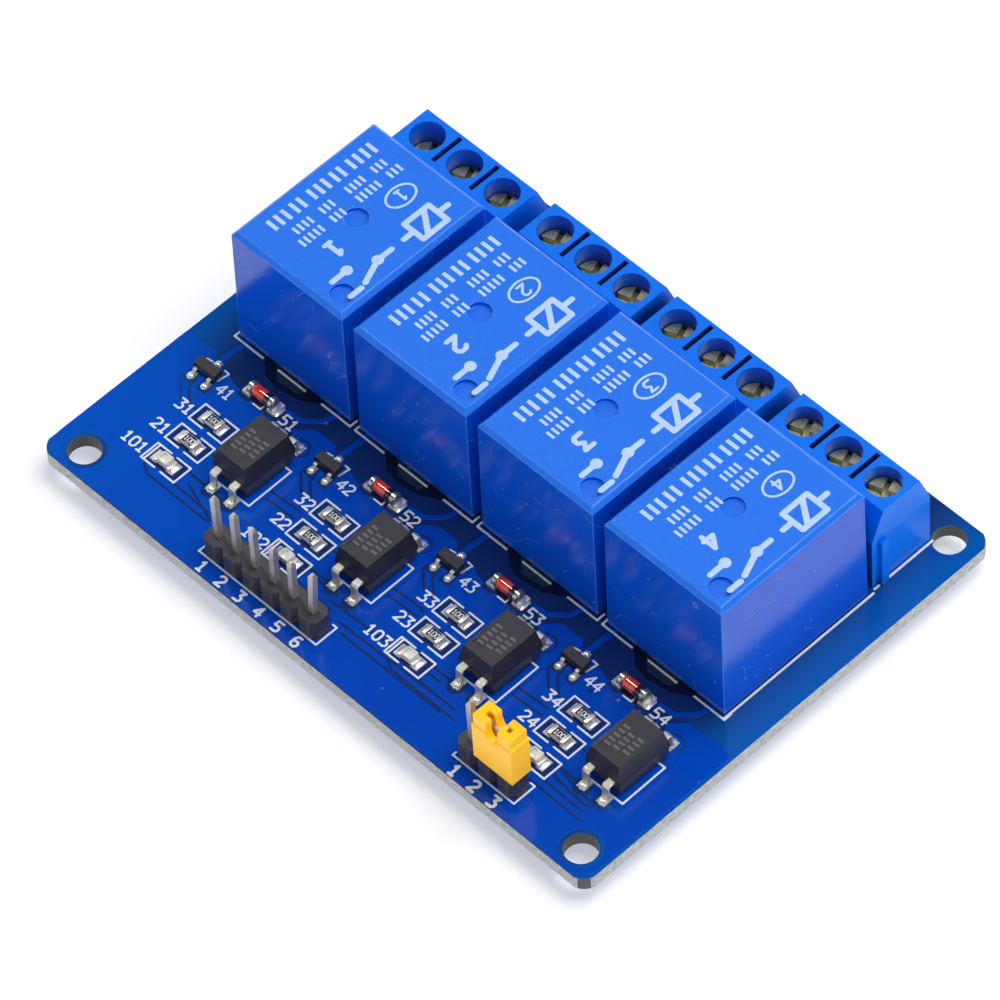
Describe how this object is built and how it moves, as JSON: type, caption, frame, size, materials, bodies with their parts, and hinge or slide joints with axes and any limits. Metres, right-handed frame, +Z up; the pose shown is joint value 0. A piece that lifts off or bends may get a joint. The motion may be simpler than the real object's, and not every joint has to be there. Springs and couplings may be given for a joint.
{
  "type": "relay module board",
  "caption": "Circuit board with a row of sealed changeover relays, a screw terminal block behind each, opto-isolated drivers, pin headers and a jumper.",
  "frame": {"origin": "centre of the four mounting holes, on the underside of the board", "axes": "+X along the row of relays from channel 1 to channel 4, +Y from the pin headers to the screw terminals, +Z up from the board"},
  "size_m": [0.0732, 0.0542, 0.0193],
  "materials": {
    "board_laminate": "glossy blue solder mask over glass-fibre laminate",
    "solder": "bright solder",
    "relay_blue": "satin moulded blue",
    "plated_iron": "nickel-plated iron",
    "copper_wire": "enamelled copper winding",
    "contact_brass": "bare contact spring and button",
    "black_plastic": "satin black moulding",
    "tinned_pin": "tinned, slightly warm",
    "tinned_steel": "tinned sheet steel",
    "terminal_blue": "satin moulded blue",
    "screw_steel": "plated, a little yellowed",
    "jumper_yellow": "glossy moulded yellow",
    "chip_black": "fine matt moulding compound",
    "diode_glass": "orange-red glass with tinned ends",
    "resistor_black": "black glaze with tinned ends",
    "lamp_cream": "cream package"
  },
  "bodies": {
    "board": {"circuit_board": "board_laminate", "diodes": "diode_glass", "indicator_lamps": "lamp_cream", "input_header_housing": "black_plastic", "input_header_pins": "tinned_pin", "jumper_cap": "jumper_yellow", "jumper_clip": "tinned_pin", "optocoupler_leads": "tinned_pin", "optocouplers": "chip_black", "relay_bases": "relay_blue", "relay_bobbins": "black_plastic", "relay_case_1": "relay_blue", "relay_case_2": "relay_blue", "relay_case_3": "relay_blue", "relay_case_4": "relay_blue", "relay_coil_pins": "tinned_pin", "relay_fixed_contacts": "contact_brass", "relay_windings": "copper_wire", "relay_yokes": "plated_iron", "resistors": "resistor_black", "solder_joints": "solder", "supply_header_housing": "black_plastic", "supply_header_pins": "tinned_pin", "terminal_frames": "tinned_steel", "terminal_housing_1": "terminal_blue", "terminal_housing_2": "terminal_blue", "terminal_housing_3": "terminal_blue", "terminal_housing_4": "terminal_blue", "transistor_leads": "tinned_pin", "transistors": "chip_black"},
    "clamp_plate_1": {"clamp_plate_1": "tinned_steel"},
    "clamp_plate_10": {"clamp_plate_10": "tinned_steel"},
    "clamp_plate_11": {"clamp_plate_11": "tinned_steel"},
    "clamp_plate_12": {"clamp_plate_12": "tinned_steel"},
    "clamp_plate_2": {"clamp_plate_2": "tinned_steel"},
    "clamp_plate_3": {"clamp_plate_3": "tinned_steel"},
    "clamp_plate_4": {"clamp_plate_4": "tinned_steel"},
    "clamp_plate_5": {"clamp_plate_5": "tinned_steel"},
    "clamp_plate_6": {"clamp_plate_6": "tinned_steel"},
    "clamp_plate_7": {"clamp_plate_7": "tinned_steel"},
    "clamp_plate_8": {"clamp_plate_8": "tinned_steel"},
    "clamp_plate_9": {"clamp_plate_9": "tinned_steel"},
    "relay_armature_1": {"relay_armature_1": "plated_iron"},
    "relay_armature_2": {"relay_armature_2": "plated_iron"},
    "relay_armature_3": {"relay_armature_3": "plated_iron"},
    "relay_armature_4": {"relay_armature_4": "plated_iron"},
    "terminal_screw_1": {"terminal_screw_1": "screw_steel"},
    "terminal_screw_10": {"terminal_screw_10": "screw_steel"},
    "terminal_screw_11": {"terminal_screw_11": "screw_steel"},
    "terminal_screw_12": {"terminal_screw_12": "screw_steel"},
    "terminal_screw_2": {"terminal_screw_2": "screw_steel"},
    "terminal_screw_3": {"terminal_screw_3": "screw_steel"},
    "terminal_screw_4": {"terminal_screw_4": "screw_steel"},
    "terminal_screw_5": {"terminal_screw_5": "screw_steel"},
    "terminal_screw_6": {"terminal_screw_6": "screw_steel"},
    "terminal_screw_7": {"terminal_screw_7": "screw_steel"},
    "terminal_screw_8": {"terminal_screw_8": "screw_steel"},
    "terminal_screw_9": {"terminal_screw_9": "screw_steel"}
  },
  "joints": [
    {"name": "clamp_travel_1", "type": "slide", "parent": "board", "child": "clamp_plate_1", "axis": [0, 0, 1], "range_m": [-0.00025, 0.0018]},
    {"name": "screw_turn_1", "type": "hinge", "parent": "clamp_plate_1", "child": "terminal_screw_1", "pos_m": [-0.03095, 0.0195, 0.008], "axis": [0, 0, 1], "range_deg": [-201, 1441]},
    {"name": "clamp_travel_2", "type": "slide", "parent": "board", "child": "clamp_plate_2", "axis": [0, 0, 1], "range_m": [-0.00075, 0.0013]},
    {"name": "screw_turn_2", "type": "hinge", "parent": "clamp_plate_2", "child": "terminal_screw_2", "pos_m": [-0.02586, 0.0195, 0.008], "axis": [0, 0, 1], "range_deg": [-601, 1041]},
    {"name": "clamp_travel_3", "type": "slide", "parent": "board", "child": "clamp_plate_3", "axis": [0, 0, 1], "range_m": [-0.00095, 0.0011]},
    {"name": "screw_turn_3", "type": "hinge", "parent": "clamp_plate_3", "child": "terminal_screw_3", "pos_m": [-0.02079, 0.0195, 0.008], "axis": [0, 0, 1], "range_deg": [-761, 882]},
    {"name": "clamp_travel_4", "type": "slide", "parent": "board", "child": "clamp_plate_4", "axis": [0, 0, 1], "range_m": [-0.00115, 0.0009]},
    {"name": "screw_turn_4", "type": "hinge", "parent": "clamp_plate_4", "child": "terminal_screw_4", "pos_m": [-0.01384, 0.0197, 0.008], "axis": [0, 0, 1], "range_deg": [-922, 721]},
    {"name": "clamp_travel_5", "type": "slide", "parent": "board", "child": "clamp_plate_5", "axis": [0, 0, 1], "range_m": [-0.00085, 0.0012]},
    {"name": "screw_turn_5", "type": "hinge", "parent": "clamp_plate_5", "child": "terminal_screw_5", "pos_m": [-0.00876, 0.0197, 0.008], "axis": [0, 0, 1], "range_deg": [-681, 961]},
    {"name": "clamp_travel_6", "type": "slide", "parent": "board", "child": "clamp_plate_6", "axis": [0, 0, 1], "range_m": [-0.00125, 0.0008]},
    {"name": "screw_turn_6", "type": "hinge", "parent": "clamp_plate_6", "child": "terminal_screw_6", "pos_m": [-0.00367, 0.0197, 0.008], "axis": [0, 0, 1], "range_deg": [-1002, 641]},
    {"name": "clamp_travel_7", "type": "slide", "parent": "board", "child": "clamp_plate_7", "axis": [0, 0, 1], "range_m": [-0.00105, 0.001]},
    {"name": "screw_turn_7", "type": "hinge", "parent": "clamp_plate_7", "child": "terminal_screw_7", "pos_m": [0.00252, 0.01965, 0.008], "axis": [0, 0, 1], "range_deg": [-841, 801]},
    {"name": "clamp_travel_8", "type": "slide", "parent": "board", "child": "clamp_plate_8", "axis": [0, 0, 1], "range_m": [-0.00135, 0.0007]},
    {"name": "screw_turn_8", "type": "hinge", "parent": "clamp_plate_8", "child": "terminal_screw_8", "pos_m": [0.0076, 0.01965, 0.008], "axis": [0, 0, 1], "range_deg": [-1082, 561]},
    {"name": "clamp_travel_9", "type": "slide", "parent": "board", "child": "clamp_plate_9", "axis": [0, 0, 1], "range_m": [-0.00095, 0.0011]},
    {"name": "screw_turn_9", "type": "hinge", "parent": "clamp_plate_9", "child": "terminal_screw_9", "pos_m": [0.01269, 0.01965, 0.008], "axis": [0, 0, 1], "range_deg": [-761, 882]},
    {"name": "clamp_travel_10", "type": "slide", "parent": "board", "child": "clamp_plate_10", "axis": [0, 0, 1], "range_m": [-0.00145, 0.0006]},
    {"name": "screw_turn_10", "type": "hinge", "parent": "clamp_plate_10", "child": "terminal_screw_10", "pos_m": [0.01919, 0.0195, 0.008], "axis": [0, 0, 1], "range_deg": [-1161, 481]},
    {"name": "clamp_travel_11", "type": "slide", "parent": "board", "child": "clamp_plate_11", "axis": [0, 0, 1], "range_m": [-0.00125, 0.0008]},
    {"name": "screw_turn_11", "type": "hinge", "parent": "clamp_plate_11", "child": "terminal_screw_11", "pos_m": [0.02426, 0.0195, 0.008], "axis": [0, 0, 1], "range_deg": [-1002, 641]},
    {"name": "clamp_travel_12", "type": "slide", "parent": "board", "child": "clamp_plate_12", "axis": [0, 0, 1], "range_m": [-0.00155, 0.0005]},
    {"name": "screw_turn_12", "type": "hinge", "parent": "clamp_plate_12", "child": "terminal_screw_12", "pos_m": [0.02934, 0.0195, 0.008], "axis": [0, 0, 1], "range_deg": [-1241, 401]},
    {"name": "armature_tilt_1", "type": "hinge", "parent": "board", "child": "relay_armature_1", "pos_m": [-0.02487, -0.0025, 0.01285], "axis": [1, 0, 0], "range_deg": [-3, 0], "stiffness_Nm_per_rad": 0.002, "springref_deg": 28.65},
    {"name": "armature_tilt_2", "type": "hinge", "parent": "board", "child": "relay_armature_2", "pos_m": [-0.00835, -0.0025, 0.01285], "axis": [1, 0, 0], "range_deg": [-3, 0], "stiffness_Nm_per_rad": 0.002, "springref_deg": 28.65},
    {"name": "armature_tilt_3", "type": "hinge", "parent": "board", "child": "relay_armature_3", "pos_m": [0.00816, -0.0025, 0.01285], "axis": [1, 0, 0], "range_deg": [-3, 0], "stiffness_Nm_per_rad": 0.002, "springref_deg": 28.65},
    {"name": "armature_tilt_4", "type": "hinge", "parent": "board", "child": "relay_armature_4", "pos_m": [0.02466, -0.0025, 0.01285], "axis": [1, 0, 0], "range_deg": [-3, 0], "stiffness_Nm_per_rad": 0.002, "springref_deg": 28.65}
  ],
  "couplings": [
    {"joint": "screw_turn_1", "follows": "clamp_travel_1", "rad_per_m": 13963},
    {"joint": "screw_turn_2", "follows": "clamp_travel_2", "rad_per_m": 13963},
    {"joint": "screw_turn_3", "follows": "clamp_travel_3", "rad_per_m": 13963},
    {"joint": "screw_turn_4", "follows": "clamp_travel_4", "rad_per_m": 13963},
    {"joint": "screw_turn_5", "follows": "clamp_travel_5", "rad_per_m": 13963},
    {"joint": "screw_turn_6", "follows": "clamp_travel_6", "rad_per_m": 13963},
    {"joint": "screw_turn_7", "follows": "clamp_travel_7", "rad_per_m": 13963},
    {"joint": "screw_turn_8", "follows": "clamp_travel_8", "rad_per_m": 13963},
    {"joint": "screw_turn_9", "follows": "clamp_travel_9", "rad_per_m": 13963},
    {"joint": "screw_turn_10", "follows": "clamp_travel_10", "rad_per_m": 13963},
    {"joint": "screw_turn_11", "follows": "clamp_travel_11", "rad_per_m": 13963},
    {"joint": "screw_turn_12", "follows": "clamp_travel_12", "rad_per_m": 13963}
  ]
}
